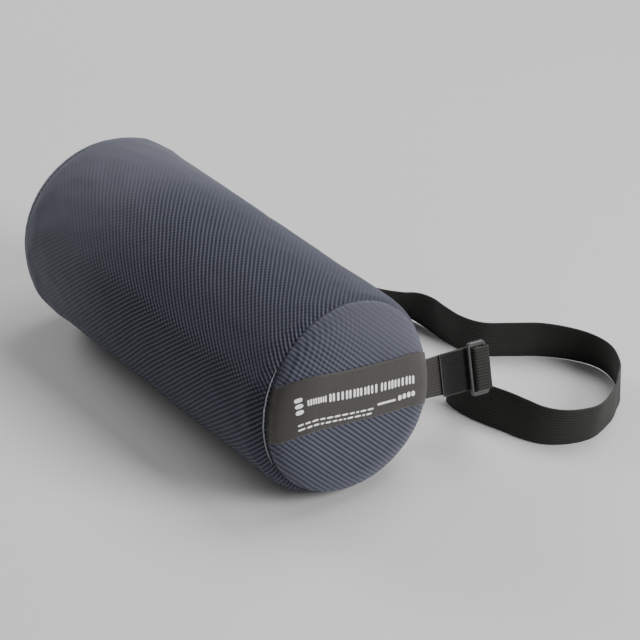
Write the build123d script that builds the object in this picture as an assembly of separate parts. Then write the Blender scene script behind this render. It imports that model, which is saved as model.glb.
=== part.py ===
"""Lumbar roll: a foam cylinder in a ribbed knit cover, with an elastic strap and a slide buckle.

Frame: millimetres, +Z up.  The roll lies along X with its bottom settled on the plane Z = 0.
The origin is on that plane, under the middle of the roll.  The labelled end is at +X and the
strap stands on its edge on the same plane, on the +Y side.
"""
from build123d import *
from math import cos, radians, sin
import os

# ---- cushion ----
roll_length = 280.0
roll_radius = 60.0
settle = 1.2                 # how far the soft roll flattens where it rests
edge_radius = 27.0           # rounding between the side and each end
cover_thickness = 1.5
foam_gap = 0.05              # keeps the foam just clear of the cover
seam_x = 124.0               # where each end panel meets the sleeve
seam_groove_radius = 1.3
thread_radius = 0.45
sleeve_seam_angle = 325.0    # lengthwise seam of the sleeve, low on the side that faces the strap
sleeve_seam_groove = 0.9

# ---- label tape across the near end panel ----
label_width = 33.4
label_thickness = 0.5
label_slope = -0.125         # the tape's end nearer the strap sits lower than its other end
label_rise = 12.7            # height of the tape's middle above the roll's axis
label_droop = 0.0138         # how fast the tape sinks where it follows the rounded rim
label_level = 28.0           # half the length of its even middle part

# ---- strap, tab and slide ----
strap_width = 25.4
strap_thickness = 1.1
tab_layer = 1.0
slide_centre = (132.0, 86.8, 52.2)
slide_turn = 9.3             # plan angle of the tab from +Y towards +X
slide_lean = 15.0            # the slide's top leans back towards the roll
slide_height = 32.0
slide_rail = 2.6
slide_depth = 2.2
bar_inner = 3.9              # centre bar axis to each outer bar's inner face
bar_width = 1.8
centre_bar_radius = 1.0
bar_clearance = 0.1
strap_bend = 1.4             # centre-line radius where the strap turns round the bars
tail_length = 19.5
ribbon_steps = 4             # cross-sections from one way point of the strap's run to the next
root_y = 60.5                # the strap and tab start just clear of the cover here

axis_height = roll_radius - settle
axis_line = Plane(origin=(0, 0, axis_height), x_dir=(1, 0, 0), z_dir=(0, -1, 0))
big = 600.0


def roll_body(inset):
    """The cushion's solid shape, offset inwards, with its flat resting patch."""
    half = roll_length / 2 - inset
    radius = roll_radius - inset
    bend = edge_radius - inset
    with BuildPart() as body:
        with BuildSketch(axis_line):
            with BuildLine():
                Polyline((-half, 0), (-half, radius), (half, radius), (half, 0), close=True)
            make_face()
            corners = vertices().group_by(Axis.Y)[-1]
            fillet(corners, bend)
        revolve(axis=Axis((0, 0, axis_height), (1, 0, 0)))
    floor = Pos(0, 0, inset + big / 2) * Box(big, big, big)
    return body.part & floor


def ring(radius, thickness, position):
    """A round ring about the roll's axis."""
    return Pos(position, 0, axis_height) * Rot(0, 90, 0) * Torus(radius, thickness)


def slab_x(low, high):
    """Everything between two planes across the roll's axis."""
    return Pos((low + high) / 2, 0, axis_height) * Box(high - low, big, big)


# ---- cushion: foam, sleeve, end panels and their seams ----
outer = roll_body(0)
inner = roll_body(cover_thickness)
shell = outer - inner
foam_core = roll_body(cover_thickness + foam_gap)

seam_radius = roll_radius - edge_radius + (edge_radius**2 - (seam_x - roll_length / 2 + edge_radius)**2) ** 0.5
near_groove = ring(seam_radius, seam_groove_radius, seam_x)
far_groove = ring(seam_radius, seam_groove_radius, -seam_x)

seam_angle = radians(sleeve_seam_angle)
seam_line_radius = roll_radius + 0.2
seam_centre = (seam_line_radius * cos(seam_angle), axis_height + seam_line_radius * sin(seam_angle))
lengthwise_groove = Pos(0, *seam_centre) * Rot(0, 90, 0) * Cylinder(sleeve_seam_groove, roll_length)
sleeve_tube = (shell & slab_x(-seam_x, seam_x)) - lengthwise_groove
cover_sleeve = sleeve_tube - near_groove - far_groove
cover_end_near = (shell & slab_x(seam_x, big / 2)) - near_groove
cover_end_far = (shell & slab_x(-big / 2, -seam_x)) - far_groove

thread_ring_radius = seam_radius - seam_groove_radius + thread_radius + 0.1
rest_space = Pos(0, 0, 0.35 + big / 2) * Box(big, big, big)
seam_thread_near = ring(thread_ring_radius, thread_radius, seam_x) & rest_space
seam_thread_far = ring(thread_ring_radius, thread_radius, -seam_x) & rest_space
stitch_radius = seam_line_radius - sleeve_seam_groove + thread_radius * 0.8
stitch_centre = (stitch_radius * cos(seam_angle), axis_height + stitch_radius * sin(seam_angle))
sleeve_seam_thread = Pos(0, *stitch_centre) * Rot(0, 90, 0) * Cylinder(thread_radius * 0.7, 2 * seam_x - 6)

# ---- label tape: a thin layer lying on the near end panel, caught in its seam at both ends ----
def tape_line(y):
    """Height of the tape's middle line above the roll's axis, y across the end panel."""
    return label_rise + label_slope * y - label_droop * max(abs(y) - label_level, 0) ** 2


tape_spots = [step * 8.0 for step in range(-9, 10)]
half_tape = label_width / 2
with BuildPart() as tape_prism:
    with BuildSketch(Plane.YZ):
        with BuildLine():
            upper = Spline(*[(y, axis_height + tape_line(y) + half_tape) for y in tape_spots])
            lower = Spline(*[(y, axis_height + tape_line(y) - half_tape) for y in tape_spots])
            Line(upper @ 0, lower @ 0)
            Line(upper @ 1, lower @ 1)
        make_face()
    extrude(amount=roll_length)
tape_space = tape_prism.part
lifted = roll_body(-label_thickness)
label_tape = (lifted - outer) & tape_space & slab_x(seam_x + 1.6, big / 2)

# ---- slide buckle, in its own frame: u along the tab outwards, b backwards, w up the width ----
turn = radians(slide_turn)
lean = radians(slide_lean)
along = Vector(sin(turn), cos(turn), 0)
facing = Vector(cos(turn), -sin(turn), 0)
width_axis = Vector(0, 0, 1) * cos(lean) - facing * sin(lean)
slide_frame = Plane(origin=slide_centre, x_dir=along, z_dir=width_axis)

half_slide = bar_inner + bar_width
with BuildPart() as slide:
    with BuildSketch(Plane.XZ):
        RectangleRounded(2 * half_slide, slide_height, 2.2)
        for side in (-1, 1):
            window = (bar_inner - centre_bar_radius)
            with Locations((side * (bar_inner + centre_bar_radius) / 2, 0)):
                Rectangle(window, slide_height - 2 * slide_rail, mode=Mode.SUBTRACT)
        Rectangle(2 * centre_bar_radius, slide_height - 2 * slide_rail, mode=Mode.SUBTRACT)
    extrude(amount=slide_depth / 2, both=True)
    fillet(slide.edges().filter_by(GeomType.LINE).filter_by(Axis.Z), 0.7)
    with BuildSketch(Plane.XY):
        Circle(centre_bar_radius)
    extrude(amount=slide_height / 2 - slide_rail + 0.3, both=True)
slide_buckle = slide_frame.location * slide.part

# ---- anchor tab: doubled webbing round the centre bar, running back to the near seam ----
wrap_inner = centre_bar_radius + bar_clearance
wrap_outer = wrap_inner + tab_layer
strip_front = 3.3
strip_back = strip_front + 2 * tab_layer
with BuildPart() as tab:
    with BuildSketch(Plane.XY):
        Circle(wrap_outer)
        with Locations((0, strip_back / 2)):
            Rectangle(2 * wrap_outer, strip_back)
        with Locations((-20, (strip_front + strip_back) / 2)):
            Rectangle(40, strip_back - strip_front)
        Circle(wrap_inner, mode=Mode.SUBTRACT)
        with Locations((0, strip_front / 2)):
            Rectangle(2 * wrap_inner, strip_front, mode=Mode.SUBTRACT)
    extrude(amount=strap_width / 2, both=True)
outside_roll = Pos(0, root_y + big / 2, 0) * Box(big * 2, big, big)
anchor_tab = (slide_frame.location * tab.part) & outside_roll

# ---- elastic strap: the part threaded through the slide ----
slot_u = -(wrap_outer + strap_thickness / 2 + 0.05)
front_b = -(wrap_outer + strap_thickness / 2 + 0.15)
tail_b = strip_front - strap_thickness / 2 - 0.1
round_u = half_slide + 0.4 + strap_thickness / 2
exit_b = 3.0
with BuildPart() as threaded:
    with BuildSketch(Plane.XY):
        with BuildLine() as path:
            run = FilletPolyline(
                (slot_u - tail_length, tail_b),
                (slot_u, tail_b),
                (slot_u, front_b),
                (round_u, front_b),
                (round_u, exit_b),
                radius=strap_bend,
            )
        trace(path.wires(), strap_thickness)
    extrude(amount=strap_width / 2, both=True)
threaded_part = slide_frame.location * threaded.part

# ---- elastic strap: the free run, from behind the slide, round the loop and back to the far seam ----
# Each way point: X, Y, height of the strap's middle, lean of its top towards the left of travel.
exit_point = Vector(*slide_frame.from_local_coords((round_u, exit_b - 0.9, 0)))
standing = strap_width / 2 + 0.2
way_points = [
    (123.0, 96.0, 47.5, 8),
    (114.4, 101.0, 41.6, 6),
    (106.8, 107.6, 34.4, 3),
    (99.4, 111.0, 26.4, 0),
    (92.6, 111.4, 18.8, 0),
    (87.0, 110.0, standing + 0.9, 0),
    (83.2, 106.2, standing, 0),
    (85.6, 102.2, standing, 0),
    (94.8, 101.6, standing, 2),
    (104.6, 103.0, standing, 5),
    (115.0, 105.8, standing, 9),
    (128.6, 110.4, standing, 11),
    (142.0, 114.2, standing, 9),
    (153.0, 118.6, standing, 1),
    (161.4, 126.4, standing, -6),
    (166.6, 137.4, standing, -9),
    (167.0, 149.0, standing, -10),
    (158.8, 166.6, standing, -5),
    (150.4, 177.0, standing, -1),
    (141.4, 186.8, standing, 2),
    (125.0, 195.8, standing, 6),
    (108.6, 197.2, standing, 11),
    (93.4, 191.2, standing, 10),
    (78.4, 179.4, standing, 7),
    (67.6, 164.8, standing, 7),
    (57.6, 151.4, standing, 7),
    (44.6, 145.2, standing, 5),
    (30.0, 143.8, standing, 2),
    (18.0, 143.8, standing, 1),
    (7.0, 142.4, standing, 9),
    (-4.0, 137.4, standing + 0.4, 25),
    (-18.0, 126.4, standing + 2.6, 32),
    (-38.0, 110.4, standing + 8.5, 28),
    (-62.0, 93.8, standing + 17.6, 20),
    (-88.0, 78.6, standing + 27.6, 10),
    (-110.0, 66.4, standing + 35.8, 3),
    (-123.0, 60.2, standing + 39.4, 0),
]
stations = [(exit_point, 0)] + [(Vector(x, y, z), tilt) for x, y, z, tilt in way_points]


def between(before, start, end, after, share):
    """A point on the smooth curve through four neighbouring values."""
    slope_start = (end - before) * 0.5
    slope_end = (after - start) * 0.5
    weight = share * share * (3 - 2 * share)
    pull_start = share * (1 - share) ** 2
    pull_end = share * share * (1 - share)
    return start * (1 - weight) + end * weight + slope_start * pull_start - slope_end * pull_end


centres = []
leans = []
last = len(stations) - 1
for index in range(last):
    near_stations = [stations[max(index - 1, 0)], stations[index], stations[index + 1], stations[min(index + 2, last)]]
    for step in range(ribbon_steps):
        share = step / ribbon_steps
        centres.append(between(*[point for point, tilt in near_stations], share))
        leans.append(between(*[float(tilt) for point, tilt in near_stations], share))
centres.append(stations[last][0])
leans.append(float(stations[last][1]))

# The run is a hair thinner and narrower than the threaded part, so that it joins inside it.
sections = []
for index, point in enumerate(centres):
    ahead = centres[min(index + 1, len(centres) - 1)] - centres[max(index - 1, 0)]
    travel = Vector(ahead.X, ahead.Y, 0).normalized()
    if index == 0:
        travel = slide_frame.y_dir
    leftward = Vector(0, 0, 1).cross(travel).normalized()
    upright = Vector(0, 0, 1) * cos(radians(leans[index])) + leftward * sin(radians(leans[index]))
    hold = max(0.0, 1 - index / (2.5 * ribbon_steps))
    across = (width_axis * hold + upright * (1 - hold)).normalized()
    square_on = (travel - across * across.dot(travel)).normalized()
    sections.append(Plane(origin=point, x_dir=across, z_dir=square_on) * Rectangle(strap_width - 0.1, strap_thickness - 0.06))
ribbon = loft(sections, ruled=True)
run_part = ribbon & outside_roll
elastic_strap = (threaded_part & outside_roll) + run_part

nodes = {
    "foam_core": foam_core,
    "cover_sleeve": cover_sleeve,
    "cover_end_near": cover_end_near,
    "cover_end_far": cover_end_far,
    "seam_thread_near": seam_thread_near,
    "seam_thread_far": seam_thread_far,
    "sleeve_seam_thread": sleeve_seam_thread,
    "label_tape": label_tape,
    "anchor_tab": anchor_tab,
    "slide_buckle": slide_buckle,
    "elastic_strap": elastic_strap,
}
os.makedirs("parts", exist_ok=True)
for name, shape in nodes.items():
    box = shape.bounding_box()
    print(name, "solids", len(shape.solids()), "volume", round(shape.volume, 1),
          "box", [round(v, 1) for v in (*box.min, *box.max)])
    export_step(shape, "parts/" + name + ".step")
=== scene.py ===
"""Looks for the lumbar roll: knit cover, label tape, elastic strap, tab and slide, on a pale studio floor.

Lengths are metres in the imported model's frame: the roll lies along X, its bottom on Z = 0, the labelled
end at +X and the strap on the +Y side.
"""
import math
import random

import bpy
import numpy as np
from mathutils import Matrix, Vector, noise


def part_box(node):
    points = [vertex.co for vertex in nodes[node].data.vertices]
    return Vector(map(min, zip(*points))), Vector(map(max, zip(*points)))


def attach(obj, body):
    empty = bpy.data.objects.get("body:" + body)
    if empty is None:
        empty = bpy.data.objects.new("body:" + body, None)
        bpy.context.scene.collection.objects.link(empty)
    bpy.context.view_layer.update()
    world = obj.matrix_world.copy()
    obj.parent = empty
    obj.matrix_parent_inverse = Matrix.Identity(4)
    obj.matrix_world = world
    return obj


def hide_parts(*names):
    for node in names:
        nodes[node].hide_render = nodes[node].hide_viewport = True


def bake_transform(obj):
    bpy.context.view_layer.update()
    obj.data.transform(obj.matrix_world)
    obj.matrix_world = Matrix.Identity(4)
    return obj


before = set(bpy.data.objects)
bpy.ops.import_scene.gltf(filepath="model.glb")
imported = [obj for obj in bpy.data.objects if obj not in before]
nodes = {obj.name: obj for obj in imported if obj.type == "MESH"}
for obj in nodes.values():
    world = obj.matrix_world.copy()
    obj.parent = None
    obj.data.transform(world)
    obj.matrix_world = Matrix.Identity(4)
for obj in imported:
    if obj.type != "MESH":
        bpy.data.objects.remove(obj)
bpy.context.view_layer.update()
MM = 0.001

# ---- driving dimensions, from the frame ----
sleeve_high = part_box("cover_sleeve")[1]
end_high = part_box("cover_end_near")[1]
roll_radius = sleeve_high.y
axis_height = sleeve_high.z - roll_radius
half_length = end_high.x
seam_x = sleeve_high.x
edge_radius = 27 * MM
flat_radius = roll_radius - edge_radius
straight_half = half_length - edge_radius
dome = 1.2 * MM
seam_angle = math.asin((seam_x - straight_half) / edge_radius)
seam_s = straight_half + edge_radius * seam_angle
corner_s = straight_half + edge_radius * math.pi / 2
end_s = corner_s + flat_radius
knit_thickness = 1.4 * MM
strap_width = 25.4 * MM
strap_thickness = 1.1 * MM
web_ribs = 14


def new_object(name, vertices, faces):
    mesh = bpy.data.meshes.new(name)
    mesh.from_pydata([tuple(v) for v in vertices], [], [tuple(f) for f in faces])
    mesh.validate()
    mesh.update()
    mesh.shade_smooth()
    piece = bpy.data.objects.new(name, mesh)
    bpy.context.scene.collection.objects.link(piece)
    return piece


def grid_faces(rows, columns, wrap=False):
    """Quads of a grid of rows by columns. With wrap, the last column joins the first."""
    faces = []
    last = columns if wrap else columns - 1
    for row in range(rows - 1):
        for column in range(last):
            following = (column + 1) % columns
            faces.append((row * columns + column, row * columns + following,
                          (row + 1) * columns + following, (row + 1) * columns + column))
    return faces


def bump_at(value, centre, width):
    return math.exp(-((value - centre) / width) ** 2)


def angle_gap(a, b):
    return abs((a - b + math.pi) % (2 * math.pi) - math.pi)


# ---- the cushion's surface ----
label_slope = -0.125
label_rise = 12.7 * MM
label_droop = 0.0138 / MM
label_level = 28 * MM
label_half = 16.7 * MM
label_gather = 0.17
label_left_angle = math.pi - 0.20
label_right_angle = 0.22
pucker_random = random.Random(7)
pucker_waves = [
    (pucker_random.randint(26, 74), pucker_random.uniform(0, 6.28), pucker_random.uniform(0.5, 1.0))
    for _ in range(7)
]


def profile(s):
    """Place (x, r) and outward normal (nx, nr) at arc length s from the roll's middle, on the +X half."""
    if s <= straight_half:
        return s, roll_radius, 0.0, 1.0
    if s <= corner_s:
        turn = (s - straight_half) / edge_radius
        return (straight_half + edge_radius * math.sin(turn), flat_radius + edge_radius * math.cos(turn),
                math.sin(turn), math.cos(turn))
    r = max(end_s - s, 0.0)
    slope = 2 * dome * r / flat_radius**2
    length = math.hypot(1, slope)
    return half_length + dome * (1 - (r / flat_radius) ** 2), r, 1 / length, slope / length


wander_reach = 30 * MM
wander_far = 2.5 * MM
wander_near = 0.8 * MM
wander_tilt = 3.6 * MM


def seam_wander(s, angle, side):
    """How far a seam strays along the cover, fading away from it: the near one isn't square to the roll."""
    fade = bump_at(s, seam_s, wander_reach)
    if side < 0:
        return wander_far * fade
    turned = 0.5 * (math.cos(angle) - math.sqrt(math.cos(angle) ** 2 + 0.05))
    return -(wander_near + wander_tilt * (math.sin(angle) + turned)) * fade


groove_depth = 1.6 * MM
valley_depth = 0.9 * MM
shoulder_height = 0.5 * MM
left_pull = 0.9 * MM
left_lip = 0.8 * MM
right_pull = 3.3 * MM
deep_side = math.radians(160)
gathered_side = math.radians(130)


def swell(from_seam, angle, near):
    """How far the cover stands off its plain shape: seam groove, shoulder, puckers, and the tape's pull."""
    depth = 0.4 + 0.6 * bump_at(angle_gap(angle, deep_side), 0, 1.15) if near else 0.4
    offset = -groove_depth * depth * bump_at(from_seam, 0, 1.7 * MM)
    offset -= valley_depth * depth * bump_at(from_seam, -1.5 * MM, 6 * MM)
    offset += shoulder_height * bump_at(from_seam, 8 * MM, 5 * MM)
    pucker = sum(size * math.sin(count * angle + phase) for count, phase, size in pucker_waves)
    reach = 9 * MM if from_seam < 0 else 12 * MM
    gather = 0.03 + (0.09 * bump_at(angle_gap(angle, gathered_side), 0, 0.75) if near else 0)
    offset += gather * MM * pucker * math.exp(-abs(from_seam) / reach)
    if near:
        pull = bump_at(angle_gap(angle, label_left_angle), 0, 0.34)
        offset -= left_pull * pull * bump_at(from_seam, 2.2 * MM, 3.0 * MM)
        offset += left_lip * pull * bump_at(from_seam, -1.8 * MM, 1.3 * MM)
        pull = bump_at(angle_gap(angle, label_right_angle), 0, 0.55)
        offset -= right_pull * pull * bump_at(from_seam, 5 * MM, 13 * MM)
    return offset


cloth_rows = 121
cloth_columns = 128
cloth_end = end_s - 3 * MM
cloth_step = 2 * cloth_end / (cloth_rows - 1)
cloth_frames = 20
cloth_share = 0.35
cloth_limit = 0.55 * MM


def settle_cover():
    """Blow the plain cover up as cloth held along its two seams; returns how far its points moved outwards.

    The rows run from the far end to the near one, the columns round the axis. The mean of each row is
    taken off, so that the cushion keeps its size.
    """
    places = np.linspace(-cloth_end, cloth_end, cloth_rows)
    vertices, outward = [], []
    for s in places:
        x, r, nx, nr = profile(abs(s))
        side = math.copysign(1, s)
        for column in range(cloth_columns):
            turn = 2 * math.pi * column / cloth_columns
            spread = r - nr * MM
            vertices.append((side * (x - nx * MM), spread * math.cos(turn), spread * math.sin(turn)))
            outward.append((side * nx, nr * math.cos(turn), nr * math.sin(turn)))
    faces = grid_faces(cloth_rows, cloth_columns, wrap=True)
    faces.append(tuple(reversed(range(cloth_columns))))
    faces.append(tuple(range(len(vertices) - cloth_columns, len(vertices))))
    shell = new_object("cover_cloth", vertices, [tuple(reversed(f)) for f in faces])
    held = [int(np.argmin(abs(places - side * seam_s))) for side in (-1, 1)]
    pinned = shell.vertex_groups.new(name="seams")
    for row in held:
        pinned.add(list(range(row * cloth_columns, (row + 1) * cloth_columns)), 1.0, "REPLACE")
    cloth = shell.modifiers.new("cloth", "CLOTH")
    cloth.collision_settings.use_collision = False
    cloth.settings.quality = 6
    cloth.settings.mass = 0.15
    cloth.settings.use_pressure = True
    cloth.settings.uniform_pressure_force = 4.0
    cloth.settings.vertex_group_mass = "seams"
    cloth.settings.tension_stiffness = 25
    cloth.settings.compression_stiffness = 25
    cloth.settings.shear_stiffness = 12
    cloth.settings.bending_stiffness = 0.6
    cloth.settings.shrink_min = -0.01
    cloth.settings.effector_weights.gravity = 0
    for step in range(1, cloth_frames + 1):
        bpy.context.scene.frame_set(step)
    blown = shell.evaluated_get(bpy.context.evaluated_depsgraph_get()).to_mesh()
    settled = np.empty(3 * len(vertices), np.float32)
    blown.vertices.foreach_get("co", settled)
    moved = np.sum((settled.reshape(-1, 3) - np.array(vertices)) * np.array(outward), axis=1)
    bpy.data.objects.remove(shell)
    bpy.context.scene.frame_set(1)
    moved = moved.reshape(cloth_rows, cloth_columns)
    moved = (moved - moved.mean(axis=1, keepdims=True)) * cloth_share
    return np.clip(moved, -cloth_limit, cloth_limit)


cover_cloth = settle_cover()
lump_height = 0.55 * MM
lumps_along = 16
lumps_across = 22
floor_gap = 0.25 * MM
floor_reach = 3 * MM
floor_blend = 0.9 * MM


def near_three(place):
    """The three grid lines round a place, with the weights of a smooth blend of them."""
    middle = round(place)
    t = place - middle
    return (middle - 1, 0.5 * (0.5 - t) ** 2), (middle, 0.75 - t * t), (middle + 1, 0.5 * (0.5 + t) ** 2)


def cloth_move(s, angle):
    """Outward movement of the settled cover at signed arc length s from the roll's middle."""
    total = 0.0
    for row, row_share in near_three((s + cloth_end) / cloth_step):
        row = min(max(row, 0), cloth_rows - 1)
        for column, column_share in near_three(angle / (2 * math.pi) * cloth_columns):
            total += row_share * column_share * cover_cloth[row, column % cloth_columns]
    return total


def cover_point(s, angle, side, lift=0.0):
    """Point of the cover on the side +1 or -1, with s measured as if the seam were square to the roll."""
    return cover_at(s + seam_wander(s, angle, side), s - seam_s, angle, side, lift)


def cover_at(s, from_seam, angle, side, lift):
    """Point of the cover at arc length s and angle round the axis, from_seam away from the seam."""
    x, r, nx, nr = profile(s)
    offset = swell(from_seam, angle, side > 0) + cloth_move(side * s, angle) + lift
    across = r * lumps_across
    sample = Vector((side * x * lumps_along, across * math.cos(angle), across * math.sin(angle)))
    offset += lump_height * noise.noise(sample) * min(1.0, r / (20 * MM))
    x += nx * offset
    r = max(r + nr * offset, 0.0)
    z = axis_height + r * math.sin(angle)
    if z < floor_reach:
        z = floor_gap + 0.5 * (z - floor_gap + math.hypot(z - floor_gap, floor_blend))
    return Vector((side * x, r * math.cos(angle), z))


def add_field(piece, name, values):
    attribute = piece.data.attributes.new(name, "FLOAT", "POINT")
    attribute.data.foreach_set("value", np.asarray(values, np.float32))


def share(value, low, high):
    """0 below low, 1 above high, smooth between."""
    t = min(max((value - low) / (high - low), 0.0), 1.0)
    return t * t * (3 - 2 * t)


round_count = 300
seam_start = math.radians(325)


def round_angles():
    return [seam_start - 2 * math.pi + 2 * math.pi * i / round_count for i in range(round_count)]


def make_sleeve():
    """The tube of ribbed knit between the two seams, edges turned in."""
    lengths = list(np.linspace(-seam_s + 12 * MM, seam_s - 12 * MM, 116))
    edge = list(np.linspace(seam_s - 11.4 * MM, seam_s, 24))
    lengths = [-v for v in reversed(edge)] + lengths + edge
    vertices, along, around = [], [], []
    for s in lengths:
        for angle in round_angles():
            point = cover_point(abs(s), angle, 1 if s >= 0 else -1)
            depth = bump_at(angle_gap(angle, seam_start), 0, 0.014)
            centre = Vector((point.x, 0, axis_height))
            point += (centre - point).normalized() * 0.8 * MM * depth
            vertices.append(point)
            along.append(s)
            around.append(angle * roll_radius)
    piece = new_object("knit_sleeve", vertices, grid_faces(len(lengths), round_count, wrap=True))
    add_field(piece, "rib_along", along)
    add_field(piece, "rib_around", around)
    fold = piece.modifiers.new("thickness", "SOLIDIFY")
    fold.thickness = knit_thickness
    fold.offset = -1
    return piece


def make_end(name, side):
    """A rounded end panel, from its seam to the middle of the end."""
    lengths = list(np.linspace(seam_s, seam_s + 14 * MM, 30))
    lengths += list(np.linspace(seam_s + 15 * MM, end_s - 1 * MM, 50))
    vertices = []
    for s in lengths:
        vertices += [cover_point(s, angle, side) for angle in round_angles()]
    faces = grid_faces(len(lengths), round_count, wrap=True)
    vertices.append(cover_point(end_s, 0, side))
    middle, first = len(vertices) - 1, (len(lengths) - 1) * round_count
    faces += [(first + i, first + (i + 1) % round_count, middle) for i in range(round_count)]
    piece = new_object(name, vertices, faces)
    fold = piece.modifiers.new("thickness", "SOLIDIFY")
    fold.thickness = knit_thickness
    fold.offset = -1 if side > 0 else 1
    return piece


sleeve = make_sleeve()
end_near = make_end("knit_end_near", 1)
end_far = make_end("knit_end_far", -1)

# ---- label tape ----


def radius_to_s(r):
    """Arc length at which the end's profile has radius r."""
    if r <= flat_radius:
        return end_s - r
    return straight_half + edge_radius * math.acos(min(1.0, (r - flat_radius) / edge_radius))


def label_line(y):
    """Height of the tape's middle line above the roll's axis."""
    return label_rise + label_slope * y - label_droop * max(abs(y) - label_level, 0) ** 2


def label_spot(a, b):
    """Arc length and angle on the cover, a across the end panel and b up from the tape's middle line.

    The upper half is drawn in a little where the tape runs into the seam away from the strap.
    """
    if b > 0:
        b *= 1 - label_gather * share(-a, 20 * MM, 55 * MM)
    z = label_line(a) + b
    return radius_to_s(math.hypot(a, z)), math.atan2(z, a)


def label_place(a, b, lift):
    """Point over the near end panel, lift off the cloth."""
    s, angle = label_spot(a, b)
    from_seam = max(s - seam_wander(s, angle, 1) - seam_s, 0.0)
    return cover_at(s, from_seam, angle, 1, lift)


def label_reach(b, sign):
    """Where the tape's long line at b meets the seam, on the side sign."""
    low, high = 0.0, 59 * MM
    for _ in range(40):
        half = (low + high) / 2
        s, angle = label_spot(sign * half, b)
        if s - seam_wander(s, angle, 1) > seam_s + 0.4 * MM:
            low = half
        else:
            high = half
    return sign * low


label_columns = 121
label_rows = 25
tape_thickness = 0.5 * MM
tape_lift = 0.55 * MM
print_lift = 0.62 * MM


def make_label():
    """The woven tape, with its rim closed and both ends let down into the seam."""
    columns, rows = label_columns, label_rows
    top, bottom = [], []
    for row in range(rows):
        b = -label_half + 2 * label_half * row / (rows - 1)
        start, stop = label_reach(b, -1), label_reach(b, 1)
        for column in range(columns):
            t = column / (columns - 1)
            a = start + (stop - start) * t
            ends = min(t, 1 - t)
            lift = tape_lift - tape_thickness * (1 - share(ends, 0, 0.03))
            edge = 1 - abs(b) / label_half
            lift += 0.12 * MM * (1 - share(edge, 0, 0.12))
            top.append(label_place(a, b, lift))
            bottom.append(label_place(a, b, lift - tape_thickness))
    faces = grid_faces(rows, columns)
    count = len(top)
    under = [tuple(reversed([i + count for i in f])) for f in faces]
    lower = list(range(columns))
    right = [row * columns + columns - 1 for row in range(1, rows)]
    upper = [(rows - 1) * columns + column for column in range(columns - 2, -1, -1)]
    left = [row * columns for row in range(rows - 2, 0, -1)]
    loop = lower + right + upper + left
    sides = [(loop[i], loop[i - 1], loop[i - 1] + count, loop[i] + count) for i in range(len(loop))]
    return new_object("label_band", top + bottom, faces + under + sides)


label = make_label()


hair = 0.04 * MM             # half the width left at the tip of a round end


def pill(a0, b0, width, height):
    """Outline of a bar with round ends, along the tape, centred at a0, b0."""
    if height > width:
        return stroke(a0, b0, width, height)
    columns = max(8, int(width / (0.5 * MM)))
    shape = []
    for i in range(columns + 1):
        a = -width / 2 + width * i / columns
        inset = max(0.0, abs(a) - (width / 2 - height / 2))
        half = math.sqrt(max((height / 2) ** 2 - inset**2, hair**2))
        shape.append([(a0 + a, b0 + b) for b in (-half, -half / 3, half / 3, half)])
    return shape


def stroke(a0, b0, width, height):
    """Outline of an upright bar with round ends."""
    rows = 8
    shape = []
    for i in range(rows + 1):
        b = -height / 2 + height * i / rows
        inset = max(0.0, abs(b) - (height / 2 - width / 2))
        half = math.sqrt(max((width / 2) ** 2 - inset**2, hair**2))
        shape.append([(a0 - a, b0 + b) for a in (-half, -half / 3, half / 3, half)])
    return shape


def stroke_row(rng):
    """The upright strokes: a few small ones, then larger ones with a gap between two groups."""
    small_count = 8
    gaps_after = (small_count - 1, 20)
    bars = []
    cursor = -36.5 * MM
    for index in range(37):
        small = index < small_count
        a = cursor + 0.45 * MM
        tall = (4.4 if small else 6.0) * MM * rng.uniform(0.88, 1.0)
        bars.append(stroke(a, 2.2 * MM - 0.02 * (a + 38 * MM), (1.0 if small else 1.4) * MM, tall))
        cursor += (1.5 if small else rng.choice((2.2, 2.4, 2.8))) * MM
        if index in gaps_after:
            cursor += 1.5 * MM
        if cursor > 35 * MM:
            break
    return bars


def dash_row(rng, level):
    """A row of dashes of mixed lengths, sloping a little down the tape."""
    bars = []
    cursor = -42.5 * MM
    while cursor < 5 * MM:
        width = rng.uniform(1.6, 4.4) * MM
        bars.append(pill(cursor + width / 2, level - 0.033 * (cursor + 42 * MM), width, 1.1 * MM))
        cursor += width + 0.8 * MM
    return bars


def make_print():
    """Plain white marks: dots, a row of upright strokes, two rows of dashes. No lettering."""
    rng = random.Random(3)
    bars = [pill(-41 * MM, level * MM, 4.4 * MM, 2.6 * MM) for level in (5.6, 1.8, -2.0)]
    bars += stroke_row(rng)
    bars += dash_row(rng, -9.7 * MM)
    bars += dash_row(rng, -12.5 * MM)
    bars.append(pill(15 * MM, -9.4 * MM, 13 * MM, 1.5 * MM))
    for index in range(4):
        bars.append(pill((24.2 + 3.2 * index) * MM, (-8.8 + 0.25 * index) * MM, 2.4 * MM, 3.6 * MM))
    vertices, faces = [], []
    for shape in bars:
        start = len(vertices)
        for column in shape:
            vertices += [label_place(a, b, print_lift) for a, b in column]
        faces += [tuple(reversed([start + i for i in f])) for f in grid_faces(len(shape), 4)]
    return new_object("label_print", vertices, faces)


label_print = make_print()

# ---- webbing ----
slide_centre = Vector((132.0, 86.8, 52.2)) * MM
slide_turn = math.radians(9.3)
slide_lean = math.radians(15.0)
slide_along = Vector((math.sin(slide_turn), math.cos(slide_turn), 0))
slide_facing = Vector((math.cos(slide_turn), -math.sin(slide_turn), 0))
slide_width_axis = Vector((0, 0, 1)) * math.cos(slide_lean) - slide_facing * math.sin(slide_lean)
slide_back = slide_width_axis.cross(slide_along)


def slide_point(u, b):
    """Point in the slide's own frame: u along the tab outwards, b backwards, at mid width."""
    return slide_centre + slide_along * (u * MM) + slide_back * (b * MM)


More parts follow.
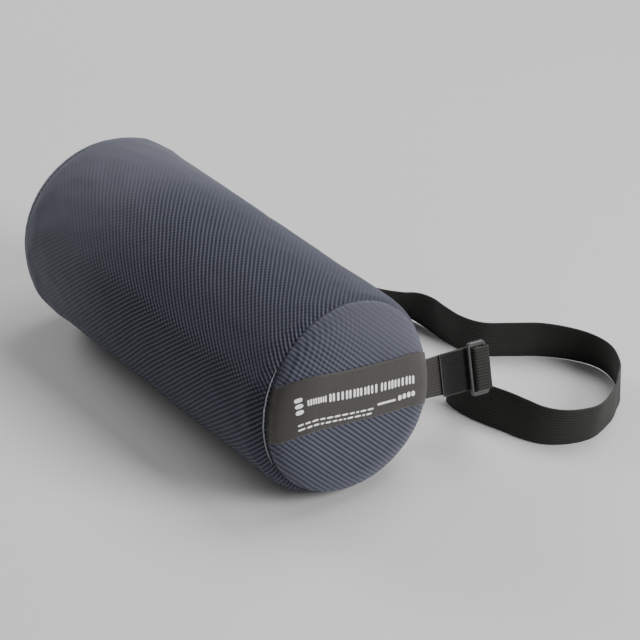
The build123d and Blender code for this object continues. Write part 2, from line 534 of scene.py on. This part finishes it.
def rounded_run(corners, radius, step=0.25):
    """Points along a path of straight runs joined by arcs, in the slide's own frame, in mm."""
    points = [Vector(corners[0])]
    for before, corner, after in zip(corners, corners[1:], corners[2:]):
        corner = Vector(corner)
        towards = (Vector(before) - corner).normalized()
        away = (Vector(after) - corner).normalized()
        half = towards.angle(away) / 2
        cut = radius / math.tan(half)
        centre = corner + (towards + away).normalized() * radius / math.sin(half)
        first = corner + towards * cut - centre
        final = corner + away * cut - centre
        sweep = first.angle(final)
        count = max(4, int(radius * sweep / step))
        for i in range(count + 1):
            t = i / count
            spoke = (first * math.sin((1 - t) * sweep) + final * math.sin(t * sweep)) / math.sin(sweep)
            points.append(centre + spoke)
    points.append(Vector(corners[-1]))
    return points


def smooth_between(p0, p1, p2, p3, t):
    """Catmull-Rom curve from p1 to p2."""
    return 0.5 * (2 * p1 + (p2 - p0) * t + (2 * p0 - 5 * p1 + 4 * p2 - p3) * t * t
                  + (3 * p1 - 3 * p2 + p3 - p0) * t**3)


def webbing(name, stations, width, thickness, ribs, rib_depth, narrowing=None):
    """A ribbon through stations of (centre, width axis), with lengthwise ribs on both faces.

    narrowing gives the share of the width left at each station.
    """
    per_rib = 6
    count = ribs * per_rib
    outline = []
    for i in range(count + 1):
        v = -width / 2 + width * i / count
        wave = 0.5 - 0.5 * math.cos(2 * math.pi * i / per_rib)
        edge = min(1.0, (width / 2 - abs(v)) / (0.7 * MM))
        rounded = 0.35 + 0.65 * math.sqrt(max(edge, 0.0) * (2 - edge))
        half = thickness / 2 * rounded - rib_depth * (1 - wave)
        outline.append((v, max(half, 0.12 * MM)))
    ring = outline + [(v, -half) for v, half in reversed(outline)]
    vertices, along, across_field = [], [], []
    travelled = 0.0
    for index, (centre, across) in enumerate(stations):
        ahead = stations[min(index + 1, len(stations) - 1)][0] - stations[max(index - 1, 0)][0]
        across = (across - ahead.normalized() * across.dot(ahead.normalized())).normalized()
        normal = across.cross(ahead.normalized())
        if index:
            travelled += (centre - stations[index - 1][0]).length
        squeeze = narrowing[index] if narrowing else 1.0
        for v, half in ring:
            vertices.append(centre + across * v * squeeze + normal * half)
            along.append(travelled)
            across_field.append(v)
    faces = grid_faces(len(stations), len(ring), wrap=True)
    last = (len(stations) - 1) * len(ring)
    for start, flip in ((0, False), (last, True)):
        for i in range(count):
            cap = (start + i, start + i + 1, start + len(ring) - 2 - i, start + len(ring) - 1 - i)
            faces.append(tuple(reversed(cap)) if flip else cap)
    piece = new_object(name, vertices, faces)
    add_field(piece, "web_along", along)
    add_field(piece, "web_across", across_field)
    return piece


# Sections through the slide, the tab and the strap's threaded end, in mm in the slide's own frame.
bar_inner, bar_width = 3.9, 1.8
wrap_inner, tab_layer, strip_front = 1.1, 1.0, 3.3
wrap_outer = wrap_inner + tab_layer
slot_u = -(wrap_outer + 0.6)
front_b = -(wrap_outer + 0.7)
tail_b = strip_front - 0.65
round_u = bar_inner + bar_width + 0.95
standing = strap_width / MM / 2 + 0.2      # height of the strap's middle where it stands on the floor
threaded = rounded_run([(slot_u - 19.5, tail_b), (slot_u, tail_b), (slot_u, front_b),
                        (round_u, front_b), (round_u, 2.1)], 1.4)
stations = [(slide_point(p.x, p.y), slide_width_axis) for p in threaded]

# Way points of the strap's free run, in mm: X, Y, height of its middle, then the lean of its top, in degrees
# to the left of travel.
way_points = [
    (123.0, 96.0, 47.5, 8),
    (114.4, 101.0, 41.6, 6),
    (106.8, 107.6, 34.4, 3),
    (99.4, 111.0, 26.4, 0),
    (92.6, 111.4, 18.8, 0),
    (87.0, 110.0, standing + 0.9, 0),
    (83.2, 106.2, standing, 0),
    (85.6, 102.2, standing, 0),
    (94.8, 101.6, standing, 2),
    (104.6, 103.0, standing, 5),
    (115.0, 105.8, standing, 9),
    (128.6, 110.4, standing, 11),
    (142.0, 114.2, standing, 9),
    (153.0, 118.6, standing, 1),
    (161.4, 126.4, standing, -6),
    (166.6, 137.4, standing, -9),
    (167.0, 149.0, standing, -10),
    (158.8, 166.6, standing, -5),
    (150.4, 177.0, standing, -1),
    (141.4, 186.8, standing, 2),
    (125.0, 195.8, standing, 6),
    (108.6, 197.2, standing, 11),
    (93.4, 191.2, standing, 10),
    (78.4, 179.4, standing, 7),
    (67.6, 164.8, standing, 7),
    (57.6, 151.4, standing, 7),
    (44.6, 145.2, standing, 5),
    (30.0, 143.8, standing, 2),
    (18.0, 143.8, standing, 1),
    (7.0, 142.4, standing, 9),
    (-4.0, 137.4, standing + 0.4, 25),
    (-18.0, 126.4, standing + 2.6, 32),
    (-38.0, 110.4, standing + 8.5, 28),
    (-62.0, 93.8, standing + 17.6, 20),
    (-88.0, 78.6, standing + 27.6, 10),
    (-110.0, 66.4, standing + 35.8, 3),
    (-121.4, 60.8, standing + 38.9, 0),
    (-124.6, 58.2, standing + 39.5, 0),
    (-125.4, 53.6, standing + 39.6, 0),
]
points = [stations[-1][0]] + [Vector(p[:3]) * MM for p in way_points]
leans = [0.0] + [float(p[3]) for p in way_points]
run = []
steps = 10
for i in range(len(points) - 1):
    four = [points[max(i - 1, 0)], points[i], points[i + 1], points[min(i + 2, len(points) - 1)]]
    lean_four = [leans[max(i - 1, 0)], leans[i], leans[i + 1], leans[min(i + 2, len(points) - 1)]]
    for k in range(steps):
        run.append((smooth_between(*four, k / steps), smooth_between(*lean_four, k / steps), i + k / steps))
run.append((points[-1], leans[-1], len(points) - 1))
for index in range(1, len(run)):
    centre, lean, where = run[index]
    ahead = run[min(index + 1, len(run) - 1)][0] - run[index - 1][0]
    travel = Vector((ahead.x, ahead.y, 0)).normalized()
    leftward = Vector((0, 0, 1)).cross(travel)
    upright = Vector((0, 0, 1)) * math.cos(math.radians(lean)) + leftward * math.sin(math.radians(lean))
    hold = 1 - share(where, 0.0, 2.6)
    stations.append((centre, (slide_width_axis * hold + upright * (1 - hold)).normalized()))
strap = webbing("elastic_webbing", stations, strap_width, strap_thickness, web_ribs, 0.16 * MM)

tab_end = -37.0
tab_front = strip_front + tab_layer / 2
tab_back = strip_front + tab_layer * 1.5
wrap_mid = (wrap_inner + wrap_outer) / 2
tab_corners = [(tab_end, tab_front), (-wrap_mid, tab_front), (-wrap_mid, -wrap_mid),
               (wrap_mid, -wrap_mid), (wrap_mid, tab_back), (tab_end, tab_back)]
tab_path = rounded_run(tab_corners, wrap_mid * 0.62)
tab_narrowing = [1 - 0.13 * (1 - share(p.x, -32, -12)) for p in tab_path]
tab = webbing("tab_webbing", [(slide_point(p.x, p.y), slide_width_axis) for p in tab_path],
              strap_width, tab_layer * MM, web_ribs, 0.12 * MM, tab_narrowing)

# ---- stitches sunk in the seams ----


round_stitches = 110
round_thread = 0.32 * MM
length_stitches = 78
length_thread = 0.30 * MM
stitch_cover = 0.84          # share of each stitch's step that its thread takes up
stitch_rings = 7
stitch_sides = 6


def stitch_row(name, count, radius, spot, sideways_at):
    """A row of short stitches, fattest in the middle.

    spot(step, high) is the thread's middle, at a share of the row and a share of the stitch's rise, and
    sideways_at(outward) is the direction across the thread.
    """
    vertices, faces = [], []
    for stitch in range(count):
        start = len(vertices)
        for k in range(stitch_rings):
            t = k / (stitch_rings - 1)
            high = math.sin(math.pi * t)
            fat = radius * (0.35 + 0.65 * high)
            centre = spot((stitch + stitch_cover * t) / count, high)
            outward = (centre - Vector((centre.x, 0, axis_height))).normalized()
            sideways = sideways_at(outward)
            for j in range(stitch_sides):
                spin = 2 * math.pi * j / stitch_sides
                vertices.append(centre + (outward * math.cos(spin) + sideways * math.sin(spin)) * fat)
        faces += [tuple(start + i for i in f) for f in grid_faces(stitch_rings, stitch_sides, wrap=True)]
    return new_object(name, vertices, faces)


def stitch_ring(name, side):
    """Stitches lying in the groove between the sleeve and an end panel."""
    def spot(step, high):
        return cover_point(seam_s, 2 * math.pi * step, side, (0.35 * high - 0.10) * MM)

    return stitch_row(name, round_stitches, round_thread, spot, lambda outward: Vector((1, 0, 0)))


def stitch_line(name):
    """Stitches along the sleeve's lengthwise seam."""
    reach = seam_x - 3 * MM

    def spot(step, high):
        x = reach * (2 * step - 1)
        return cover_point(abs(x), seam_start, 1 if x > 0 else -1, (0.3 * high - 0.85) * MM)

    return stitch_row(name, length_stitches, length_thread, spot, Vector((1, 0, 0)).cross)


def make_lip():
    """The sleeve's folded edge, standing up as a thin lip beside the end of the tape away from the strap."""
    start_angle, end_angle = math.radians(143), math.radians(203)
    rings, sides = 90, 8
    vertices = []
    for k in range(rings):
        t = k / (rings - 1)
        angle = start_angle + (end_angle - start_angle) * t
        fat = 0.42 * MM * math.sin(math.pi * t) ** 0.5 + 0.05 * MM
        centre = cover_point(seam_s - 1.0 * MM, angle, 1, 0.8 * MM)
        outward = (centre - Vector((centre.x - 9 * MM, 0, axis_height))).normalized()
        ahead = Vector((0, -math.sin(angle), math.cos(angle)))
        sideways = ahead.cross(outward).normalized()
        for j in range(sides):
            spin = 2 * math.pi * j / sides
            spoke = outward * 1.3 * math.cos(spin) + sideways * 0.7 * math.sin(spin)
            vertices.append(centre + spoke * fat)
    faces = grid_faces(rings, sides, wrap=True)
    faces.append(tuple(range(sides)))
    faces.append(tuple(reversed(range((rings - 1) * sides, rings * sides))))
    return new_object("seam_lip", vertices, faces)


lip = make_lip()
stitches_near = stitch_ring("seam_stitches_near", 1)
stitches_far = stitch_ring("seam_stitches_far", -1)
stitches_sleeve = stitch_line("sleeve_stitches")


def make_foam():
    """The foam cylinder inside the cover."""
    inset = 3.2 * MM
    columns = 64
    lengths = list(np.linspace(0, straight_half, 16))
    lengths += list(np.linspace(straight_half + 2 * MM, end_s - 4 * MM, 24))
    vertices = []
    order = [-s for s in reversed(lengths[1:])] + lengths
    for s in order:
        side = 1 if s >= 0 else -1
        for i in range(columns):
            point = cover_point(abs(s), 2 * math.pi * i / columns, side, -inset)
            point.z = max(point.z, 2.2 * MM)
            vertices.append(point)
    faces = grid_faces(len(order), columns, wrap=True)
    faces.append(tuple(range(columns)))
    faces.append(tuple(reversed(range(len(vertices) - columns, len(vertices)))))
    return new_object("foam_block", vertices, faces)


foam = make_foam()

# ---- materials ----


class Nodes:
    """Short calls for building a node material."""

    def __init__(self, name):
        self.material = bpy.data.materials.new(name)
        self.material.use_nodes = True
        self.tree = self.material.node_tree
        self.shader = self.tree.nodes["Principled BSDF"]

    def add(self, kind, **settings):
        node = self.tree.nodes.new(kind)
        for key, value in settings.items():
            setattr(node, key, value)
        return node

    def link(self, source, target):
        self.tree.links.new(source, target)

    def math(self, operation, a, b=None, c=None):
        node = self.add("ShaderNodeMath", operation=operation)
        for index, value in enumerate((a, b, c)):
            if value is None:
                continue
            if isinstance(value, (int, float)):
                node.inputs[index].default_value = value
            else:
                self.link(value, node.inputs[index])
        return node.outputs[0]

    def field(self, name):
        return self.add("ShaderNodeAttribute", attribute_name=name).outputs["Fac"]

    def place(self):
        """Object coordinates, split into x, y and z."""
        source = self.add("ShaderNodeTexCoord").outputs["Object"]
        split = self.add("ShaderNodeSeparateXYZ")
        self.link(source, split.inputs[0])
        return source, split.outputs[0], split.outputs[1], split.outputs[2]

    def noise(self, scale, detail=3.0, rough=0.5, vector=None):
        node = self.add("ShaderNodeTexNoise")
        node.inputs["Scale"].default_value = scale
        node.inputs["Detail"].default_value = detail
        node.inputs["Roughness"].default_value = rough
        if vector is not None:
            self.link(vector, node.inputs["Vector"])
        return node.outputs["Fac"]

    def wave(self, phase):
        """A rounded ridge, 0 in the gap and 1 on the crest, once per unit of phase."""
        turn = self.math("MULTIPLY", phase, 2 * math.pi)
        return self.math("MULTIPLY_ADD", self.math("COSINE", turn), 0.5, 0.5)

    def plies(self, x, y, z, pitch):
        """Slanting ridges, as on twisted thread."""
        return self.wave(self.math("MULTIPLY", self.math("ADD", self.math("ADD", x, y), z), 1 / pitch))

    def between(self, source, low, high, start=0.0, end=1.0):
        """start below low, end above high, smooth between."""
        node = self.add("ShaderNodeMapRange", interpolation_type="SMOOTHSTEP")
        self.link(source, node.inputs["Value"])
        for key, value in (("From Min", low), ("From Max", high), ("To Min", start), ("To Max", end)):
            node.inputs[key].default_value = value
        return node.outputs[0]

    def ramp(self, source, stops):
        node = self.add("ShaderNodeValToRGB")
        elements = node.color_ramp.elements
        while len(elements) < len(stops):
            elements.new(0.5)
        for element, (position, colour) in zip(elements, stops):
            element.position = position
            element.color = (*colour, 1)
        self.link(source, node.inputs[0])
        return node.outputs[0]

    def mix(self, factor, a, b, kind="MIX"):
        node = self.add("ShaderNodeMix", data_type="RGBA", blend_type=kind)
        for socket, value in ((node.inputs[0], factor), (node.inputs[6], a), (node.inputs[7], b)):
            if isinstance(value, (int, float)):
                socket.default_value = value
            elif isinstance(value, tuple):
                socket.default_value = (*value, 1)
            else:
                self.link(value, socket)
        return node.outputs[2]

    def bump(self, height, strength, distance, normal=None):
        node = self.add("ShaderNodeBump")
        node.inputs["Strength"].default_value = strength
        node.inputs["Distance"].default_value = distance
        self.link(height, node.inputs["Height"])
        if normal is not None:
            self.link(normal, node.inputs["Normal"])
        return node.outputs[0]

    def finish(self, colour, normal, roughness, **sockets):
        """Join up the shader. The roughness is a number or a socket."""
        self.link(colour, self.shader.inputs["Base Color"])
        self.link(normal, self.shader.inputs["Normal"])
        if isinstance(roughness, float):
            self.shader.inputs["Roughness"].default_value = roughness
        else:
            self.link(roughness, self.shader.inputs["Roughness"])
        for key, value in sockets.items():
            self.shader.inputs[key.replace("_", " ")].default_value = value
        return self.material


knit_dark = (0.012, 0.013, 0.021)
knit_middle = (0.047, 0.050, 0.073)
knit_light = (0.096, 0.101, 0.136)
# The sleeve's pale colour, mixed in for worn pile and for painted sheen.
nap_and_sheen_sleeve = (0.116, 0.118, 0.142)
nap_end = (0.082, 0.083, 0.096)
rib_pitch = 2.4 * MM
sleeve_slant = math.radians(50)
end_slants = (math.radians(45), math.radians(-35))


def girth_at(degrees):
    """Distance round the sleeve to an angle about the roll's axis."""
    return math.radians(degrees) * roll_radius


def knit_material(name, sleeve):
    """Staggered knit: two crossing sets of fine ridges with dark gaps, softened where the pile is worn.

    Round the sleeve the second set grows from the strap's side, over the top, to the front. Underneath it
    fades out again, so that the cloth on both sides of the lengthwise seam looks alike. Where it shows, the
    sleeve is also painted darker: painted shade on the front and underneath. Towards the strap's side, and
    partly over the top, more of the pale colour is mixed in: painted sheen. The end panels are painted a
    little lighter than the sleeve: painted light.
    """
    n = Nodes(name)
    coords, x, y, z = n.place()
    drift = n.math("MULTIPLY_ADD", n.noise(22.0, 2.0, 0.5, coords), 0.8, -0.4)
    if sleeve:
        u, v = n.field("rib_along"), n.field("rib_around")
        slants = (-sleeve_slant, sleeve_slant)
    else:
        u, v = y, z
        slants = end_slants
    ridges = []
    for slant in slants:
        along_u = n.math("MULTIPLY", u, math.cos(slant) / rib_pitch)
        phase = n.math("ADD", along_u, n.math("MULTIPLY", v, math.sin(slant) / rib_pitch))
        ridges.append(n.wave(n.math("ADD", phase, drift)))
    if sleeve:
        folded = n.math("MULTIPLY", v, n.between(v, girth_at(285), girth_at(318), 1.0, 0.0))
        place = n.math("MULTIPLY_ADD", drift, 0.006, folded)
        second = n.between(place, girth_at(149), girth_at(165), 0.2, 0.88)
    else:
        second = n.between(n.math("SUBTRACT", z, y), 0.07, 0.14, 0.1, 0.36)
    height = n.math("MULTIPLY_ADD", n.math("SUBTRACT", ridges[1], ridges[0]), second, ridges[0])
    fuzz = n.noise(2600.0, 2.0, 0.6, coords)
    patches = n.noise(9.0, 3.0, 0.55, coords)
    from_far_end = n.math("ADD", x, n.math("MULTIPLY_ADD", patches, 0.08, -0.04))
    clear = n.between(from_far_end, -0.12, 0.0, 0.12, 1.0)
    if not sleeve:
        clear = n.math("MULTIPLY", clear, n.between(n.math("ADD", y, z), 0.070, 0.135, 1.0, 0.3))
    contrast = n.math("MULTIPLY", clear, 1.35 if sleeve else 0.95)
    if sleeve:
        upper = n.between(folded, girth_at(50), girth_at(130), 0.1, 1.1)
        contrast = n.math("MULTIPLY", contrast, upper)
    shade = n.math("MULTIPLY_ADD", n.math("SUBTRACT", height, 0.5), contrast, 0.52)
    if sleeve:
        # Painted shade: where the second set shows, on the front and underneath, the knit is painted darker.
        # It is also a little darker where clear is high, away from the far end.
        shade = n.math("MULTIPLY_ADD", second, -0.30, n.math("MULTIPLY_ADD", clear, -0.09, shade))
    else:
        # Painted light: the end panels' knit is painted a little lighter than the sleeve's.
        shade = n.math("ADD", shade, 0.07)
    shade = n.math("ADD", shade, n.math("MULTIPLY_ADD", fuzz, 0.16, -0.08))
    colour = n.ramp(shade, [(0.12, knit_dark), (0.5, knit_middle), (0.95, knit_light)])
    colour = n.mix(n.math("MULTIPLY_ADD", patches, 0.25, -0.05), colour, (0.058, 0.060, 0.078))
    nap_and_sheen = n.math("MULTIPLY_ADD", clear, -0.7, 0.7)
    if sleeve:
        # Painted sheen: towards the strap's side, and partly over the top, more of the pale colour is mixed
        # in.
        nap_and_sheen = n.math("ADD", nap_and_sheen, n.math("MULTIPLY_ADD", upper, -0.16, 0.17))
    colour = n.mix(nap_and_sheen, colour, nap_and_sheen_sleeve if sleeve else nap_end)
    relief = n.math("MULTIPLY", n.math("MULTIPLY_ADD", fuzz, 0.12, height), contrast)
    normal = n.bump(relief, 0.85, 0.55 * MM)
    return n.finish(colour, normal, 0.85, Sheen_Weight=0.18 if sleeve else 0.3, Sheen_Roughness=0.45,
                    Sheen_Tint=(0.66, 0.69, 0.82, 1), Specular_IOR_Level=0.18 if sleeve else 0.25)


def edge_material():
    """The cut and overlocked edge of the knit: paler, with a fine twisted grain."""
    n = Nodes("knit_edge")
    coords, x, y, z = n.place()
    twist = n.plies(x, y, z, 0.9 * MM)
    fuzz = n.noise(2400.0, 2.0, 0.6, coords)
    shade = n.math("MULTIPLY_ADD", fuzz, 0.5, n.math("MULTIPLY", twist, 0.5))
    colour = n.ramp(shade, [(0.1, (0.10, 0.10, 0.115)), (1.0, (0.30, 0.30, 0.33))])
    normal = n.bump(twist, 0.4, 0.1 * MM)
    return n.finish(colour, normal, 0.8, Sheen_Weight=0.3)


# Paler colour painted on the cut end of the elastic: painted light.
cut_end_painted_light = (0.09, 0.085, 0.078)


def webbing_material(name, base, light, rib_colour, tail_shade_share=0.0):
    """Woven elastic: fine cross threads over the lengthwise ribs, rib crests painted paler (painted
    highlight), a paler edge, and a cut end painted paler (painted light).

    The first stretch, the strap's tail, is painted darker, towards the base colour by the share given last:
    painted shade.
    """
    n = Nodes(name)
    coords = n.place()[0]
    along, across = n.field("web_along"), n.field("web_across")
    picks = n.wave(n.math("MULTIPLY", along, 1 / (0.75 * MM)))
    rib = n.wave(n.math("MULTIPLY", across, web_ribs / strap_width))
    slanted = n.math("MULTIPLY", across, 2 * web_ribs / strap_width)
    braid = n.wave(n.math("ADD", n.math("MULTIPLY", along, 1 / (1.5 * MM)), slanted))
    fuzz = n.noise(1900.0, 2.0, 0.6, coords)
    patches = n.noise(17.0, 2.0, 0.5, coords)
    # The rib crests are painted paler than the furrows: painted highlight.
    shade = n.math("MULTIPLY_ADD", rib, 0.42, n.math("MULTIPLY", picks, 0.2))
    shade = n.math("ADD", shade, n.math("MULTIPLY_ADD", braid, 0.18, n.math("MULTIPLY", fuzz, 0.2)))
    colour = n.ramp(shade, [(0.1, base), (0.65, rib_colour), (1.0, light)])
    colour = n.mix(n.math("MULTIPLY", patches, 0.3), colour, rib_colour)
    # Painted shade: the strap's tail is painted darker, towards the base colour.
    tail_shade = n.between(along, 12 * MM, 23 * MM, tail_shade_share, 0.0)
    colour = n.mix(tail_shade, colour, base)
    selvedge = n.between(n.math("ABSOLUTE", across), 0.465 * strap_width, 0.5 * strap_width, 0.0, 0.8)
    colour = n.mix(selvedge, colour, light)
    # Painted light: the cut end is painted paler, lifting the shade on the end face.
    cut = n.between(along, 0.0, 0.6 * MM, 1.0, 0.0)
    colour = n.mix(cut, colour, cut_end_painted_light)
    height = n.math("MULTIPLY_ADD", picks, 0.5, n.math("MULTIPLY", braid, 0.5))
    normal = n.bump(n.math("MULTIPLY_ADD", fuzz, 0.2, height), 0.6, 0.12 * MM)
    return n.finish(colour, normal, 0.72, Sheen_Weight=0.12, Sheen_Roughness=0.4, Specular_IOR_Level=0.22)


def tape_material():
    """Woven label tape: a tight plain weave."""
    n = Nodes("woven_tape")
    coords, _, y, z = n.place()
    along = n.math("MULTIPLY_ADD", z, label_slope, y)
    across = n.math("MULTIPLY_ADD", y, -label_slope, z)
    warp = n.wave(n.math("MULTIPLY", across, 1 / (0.55 * MM)))
    weft = n.wave(n.math("MULTIPLY", along, 1 / (0.7 * MM)))
    weave = n.math("MULTIPLY", warp, weft)
    fuzz = n.noise(1500.0, 2.0, 0.6, coords)
    patches = n.noise(30.0, 3.0, 0.6, coords)
    shade = n.math("MULTIPLY_ADD", fuzz, 0.3, n.math("MULTIPLY", weave, 0.5))
    stops = [(0.0, (0.031, 0.028, 0.025)), (0.5, (0.044, 0.040, 0.036)), (1.0, (0.063, 0.057, 0.052))]
    colour = n.ramp(shade, stops)
    colour = n.mix(n.math("MULTIPLY", patches, 0.35), colour, (0.039, 0.035, 0.032))
    normal = n.bump(weave, 0.5, 0.08 * MM)
    return n.finish(colour, normal, 0.6, Sheen_Weight=0.15, Specular_IOR_Level=0.4)


def print_material():
    """White ink that lets the weave show through and is a little worn."""
    n = Nodes("white_ink")
    coords = n.place()[0]
    worn = n.noise(900.0, 3.0, 0.7, coords)
    stops = [(0.2, (0.62, 0.62, 0.61)), (0.42, (0.90, 0.90, 0.89)), (1.0, (0.93, 0.93, 0.92))]
    colour = n.ramp(worn, stops)
    normal = n.bump(worn, 0.3, 0.04 * MM)
    return n.finish(colour, normal, 0.55)


def plastic_material():
    """Black moulded plastic with fine spark texture, its edges rounded in the shading."""
    n = Nodes("moulded_plastic")
    coords = n.place()[0]
    grain = n.noise(2200.0, 3.0, 0.6, coords)
    smear = n.noise(140.0, 2.0, 0.5, coords)
    colour = n.ramp(smear, [(0.3, (0.044, 0.044, 0.044)), (0.75, (0.074, 0.074, 0.073))])
    rough = n.math("MULTIPLY_ADD", grain, 0.2, 0.18)
    soft = n.add("ShaderNodeBevel", samples=6)
    soft.inputs["Radius"].default_value = 0.5 * MM
    normal = n.bump(grain, 0.2, 0.05 * MM, soft.outputs[0])
    return n.finish(colour, normal, rough)


def thread_material():
    """Two-ply sewing thread, a shade darker than the knit."""
    n = Nodes("sewing_thread")
    coords, x, y, z = n.place()
    twist = n.plies(x, y, z, 0.45 * MM)
    fuzz = n.noise(3000.0, 2.0, 0.6, coords)
    colour = n.ramp(n.math("MULTIPLY_ADD", fuzz, 0.5, n.math("MULTIPLY", twist, 0.5)),
                    [(0.1, (0.018, 0.019, 0.028)), (1.0, (0.055, 0.057, 0.08))])
    normal = n.bump(twist, 0.5, 0.06 * MM)
    return n.finish(colour, normal, 0.7, Sheen_Weight=0.2)


def foam_material():
    """Pale open-cell foam, pitted all over."""
    n = Nodes("open_cell_foam")
    coords = n.place()[0]
    cells = n.add("ShaderNodeTexVoronoi")
    cells.inputs["Scale"].default_value = 900.0
    n.link(coords, cells.inputs["Vector"])
    pores = cells.outputs["Distance"]
    colour = n.ramp(pores, [(0.0, (0.42, 0.39, 0.32)), (0.6, (0.72, 0.69, 0.60))])
    normal = n.bump(pores, 0.7, 0.3 * MM)
    return n.finish(colour, normal, 0.9)


def wear(piece, material):
    piece.data.materials.clear()
    piece.data.materials.append(material)


sleeve_knit = knit_material("knit_sleeve", True)
end_knit = knit_material("knit_end", False)
edge_knit = edge_material()
elastic = webbing_material(
    "black_elastic", base=(0.003, 0.003, 0.003), light=(0.058, 0.058, 0.052),
    rib_colour=(0.026, 0.026, 0.023), tail_shade_share=0.95)
tab_elastic = webbing_material(
    "tab_elastic", base=(0.016, 0.015, 0.014), light=(0.074, 0.069, 0.062),
    rib_colour=(0.041, 0.039, 0.035))
thread = thread_material()
wear(sleeve, sleeve_knit)
wear(end_near, end_knit)
wear(lip, edge_knit)
wear(end_far, end_knit)
wear(label, tape_material())
wear(label_print, print_material())
wear(strap, elastic)
wear(tab, tab_elastic)
wear(foam, foam_material())
for piece in (stitches_near, stitches_far, stitches_sleeve):
    wear(piece, thread)
slide = nodes["slide_buckle"]
wear(slide, plastic_material())

# ---- how the pieces ride, and what they stand for ----
for piece, node, slot_name in (
    (sleeve, "cover_sleeve", "knit_cover"), (end_near, "cover_end_near", "knit_cover"),
    (end_far, "cover_end_far", "knit_cover"), (label, "label_tape", "label_tape"),
    (foam, "foam_core", "foam"), (stitches_near, "seam_thread_near", "thread"),
    (stitches_far, "seam_thread_far", "thread"), (stitches_sleeve, "sleeve_seam_thread", "thread"),
):
    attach(piece, "roll")
    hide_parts(node)
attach(label_print, "roll")
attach(lip, "roll")
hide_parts("elastic_strap")
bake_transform(strap)
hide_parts("anchor_tab")
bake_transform(tab)

# ---- floor, light and camera ----
floor_half = 12
floor_corners = [(x * floor_half, y * floor_half, 0) for x, y in ((-1, -1), (1, -1), (1, 1), (-1, 1))]
floor = new_object("studio_floor", floor_corners, [(0, 1, 2, 3)])
paper = Nodes("pale_paper")
paper_coords = paper.place()[0]
paper_shades = [(0.3, (0.69, 0.69, 0.685)), (0.7, (0.72, 0.72, 0.715))]
paper_tone = paper.ramp(paper.noise(1.5, 2.0, 0.5, paper_coords), paper_shades)
paper_normal = paper.bump(paper.noise(300.0, 2.0, 0.5, paper_coords), 0.05, 0.2 * MM)
wear(floor, paper.finish(paper_tone, paper_normal, 0.9))

world = bpy.data.worlds.new("studio")
bpy.context.scene.world = world
world.use_nodes = True
background = world.node_tree.nodes["Background"]
background.inputs["Color"].default_value = (0.89, 0.89, 0.90, 1)
background.inputs["Strength"].default_value = 0.23


def area_light(name, place, target, size, power):
    lamp = bpy.data.lights.new(name, "AREA")
    lamp.shape = "RECTANGLE"
    lamp.size, lamp.size_y = size
    lamp.energy = power
    holder = bpy.data.objects.new(name, lamp)
    holder.location = place
    holder.rotation_euler = (Vector(target) - Vector(place)).to_track_quat("-Z", "Y").to_euler()
    bpy.context.scene.collection.objects.link(holder)


area_light("key", (1.6, 0.75, 0.95), (0, 0.05, 0.05), (0.9, 0.9), 38)
area_light("top", (0.0, 0.8, 1.65), (0, 0.03, 0.06), (1.4, 1.0), 20)
area_light("fill", (0.2, -1.6, 0.9), (0, 0, 0.06), (1.2, 0.8), 0.5)
area_light("far side", (-1.5, -0.35, 1.0), (-0.1, 0, 0.06), (0.8, 0.8), 13)

focal_ratio = 4.5671875      # focal length over picture width, fitted to the roll's outline
camera_place = (1.22738, -0.81116, 0.90820)
camera_data = bpy.data.cameras.new("photo_camera")
camera_data.sensor_width = 36
camera_data.lens = focal_ratio * camera_data.sensor_width
camera_data.clip_start = 0.05
camera_data.clip_end = 50
camera = bpy.data.objects.new("photo_camera", camera_data)
right = Vector((0.58397, 0.81178, 0))
up = Vector((-0.40907, 0.29427, 0.86375))
back = right.cross(up)
facing = Matrix((right, up, back)).transposed().to_4x4()
camera.matrix_world = Matrix.Translation(camera_place) @ facing
bpy.context.scene.collection.objects.link(camera)
bpy.context.scene.camera = camera
